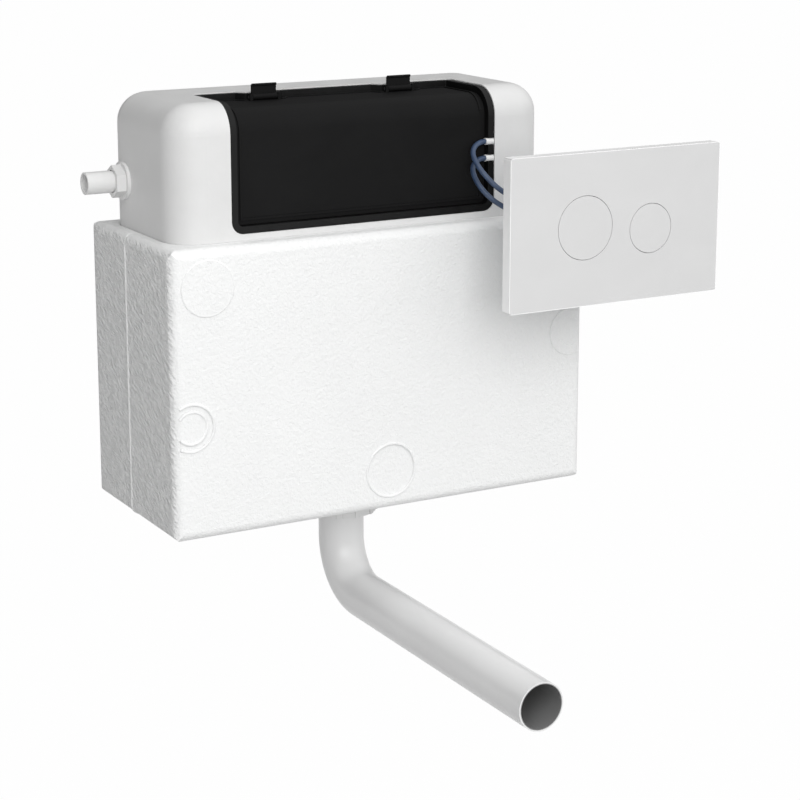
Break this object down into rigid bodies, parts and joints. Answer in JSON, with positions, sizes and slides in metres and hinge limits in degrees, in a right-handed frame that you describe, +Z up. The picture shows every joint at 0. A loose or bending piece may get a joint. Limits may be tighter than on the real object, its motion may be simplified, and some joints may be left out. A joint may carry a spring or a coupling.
{
  "type": "concealed toilet cistern",
  "caption": "Concealed toilet cistern with a moulded tank in a foam jacket, wrap-over access cover, side water inlet, bent flush pipe and an air-operated flush plate on hoses.",
  "frame": {"origin": "middle of the foam jacket's flat back, on the wall", "axes": "+X to the right seen from the front, +Y into the wall, +Z up"},
  "size_m": [0.557, 0.461, 0.5356],
  "materials": {
    "tank_white": "satin moulded",
    "foam_white": "fine beaded foam",
    "seal_black": "matt",
    "cover_black": "satin",
    "steel": "plain",
    "fitting_white": "satin",
    "fitting_grey": "satin",
    "float_white": "satin",
    "lift_blue": "satin",
    "seal_red": "matt",
    "pipe_white": "gloss",
    "hose_blue": "satin",
    "plate_white": "satin"
  },
  "bodies": {
    "cistern": {"tank": "tank_white", "jacket_front": "foam_white", "jacket_rear": "foam_white", "cover_seal": "seal_black", "inlet_seal": "seal_black", "fill_valve_diaphragm": "seal_black", "seat_washer": "seal_black", "pipe_seal": "seal_black", "full_bellows": "seal_black", "half_bellows": "seal_black", "arm_pin": "steel", "pump_screws": "steel", "inlet_nut": "fitting_white", "inlet_washer": "fitting_white", "fill_valve_body": "fitting_white", "fill_tube": "fitting_white", "valve_seat": "fitting_white", "piston_caps": "fitting_white", "outlet_nut": "fitting_white", "pipe_nut": "fitting_white", "hose_elbows": "fitting_white", "fill_valve_cap": "fitting_grey", "valve_cage": "fitting_grey", "full_pump_cup": "fitting_grey", "half_pump_cup": "fitting_grey", "plate_frame": "fitting_grey", "flush_pipe": "pipe_white", "hose_full": "hose_blue", "hose_half": "hose_blue", "inner_hose_full": "hose_blue", "inner_hose_half": "hose_blue", "flush_plate": "plate_white"},
    "cover": {"access_cover": "cover_black", "clip_pins": "steel"},
    "clip_left": {"clip_left": "cover_black"},
    "clip_right": {"clip_right": "cover_black"},
    "full_button": {"full_flush_button": "plate_white"},
    "half_button": {"half_flush_button": "plate_white"},
    "flush_valve": {"overflow_tube": "fitting_white", "flush_seal": "seal_red", "lift_collar": "lift_blue"},
    "full_piston": {"full_piston": "lift_blue"},
    "half_piston": {"half_piston": "lift_blue"},
    "float_arm": {"float_arm": "fitting_white", "float_rod": "fitting_white", "float": "float_white"},
    "plunger": {"valve_plunger": "fitting_white"}
  },
  "joints": [
    {"name": "cover_lift", "type": "slide", "parent": "cistern", "child": "cover", "axis": [0, 0, 1], "range_m": [0, 0.13]},
    {"name": "clip_left_turn", "type": "hinge", "parent": "cover", "child": "clip_left", "pos_m": [-0.083, -0.1014, 0.2564], "axis": [1, 0, 0], "range_deg": [0, 30], "stiffness_Nm_per_rad": 0.02},
    {"name": "clip_right_turn", "type": "hinge", "parent": "cover", "child": "clip_right", "pos_m": [0.061, -0.1014, 0.2564], "axis": [1, 0, 0], "range_deg": [0, 30], "stiffness_Nm_per_rad": 0.02},
    {"name": "full_press", "type": "slide", "parent": "cistern", "child": "full_button", "axis": [0, 1, 0], "range_m": [0, 0.005], "stiffness_N_per_m": 400, "deforming": ["full_bellows"]},
    {"name": "half_press", "type": "slide", "parent": "cistern", "child": "half_button", "axis": [0, 1, 0], "range_m": [0, 0.005], "stiffness_N_per_m": 400, "deforming": ["half_bellows"]},
    {"name": "flush_valve_lift", "type": "slide", "parent": "cistern", "child": "flush_valve", "axis": [0, 0, 1], "range_m": [0, 0.02]},
    {"name": "full_piston_lift", "type": "slide", "parent": "cistern", "child": "full_piston", "axis": [0, 0, 1], "range_m": [0, 0.02]},
    {"name": "half_piston_lift", "type": "slide", "parent": "cistern", "child": "half_piston", "axis": [0, 0, 1], "range_m": [0, 0.015]},
    {"name": "float_rise", "type": "hinge", "parent": "cistern", "child": "float_arm", "pos_m": [-0.1375, -0.05, 0.174], "axis": [0, -1, 0], "range_deg": [0, 26]},
    {"name": "plunger_push", "type": "slide", "parent": "cistern", "child": "plunger", "axis": [-1, 0, 0], "range_m": [0, 0.0042]}
  ],
  "couplings": [
    {"joint": "flush_valve_lift", "follows": "full_press", "ratio": 4},
    {"joint": "full_piston_lift", "follows": "full_press", "ratio": 4},
    {"joint": "half_piston_lift", "follows": "half_press", "ratio": 3},
    {"joint": "plunger_push", "follows": "float_rise", "m_per_rad": 0.00925}
  ]
}
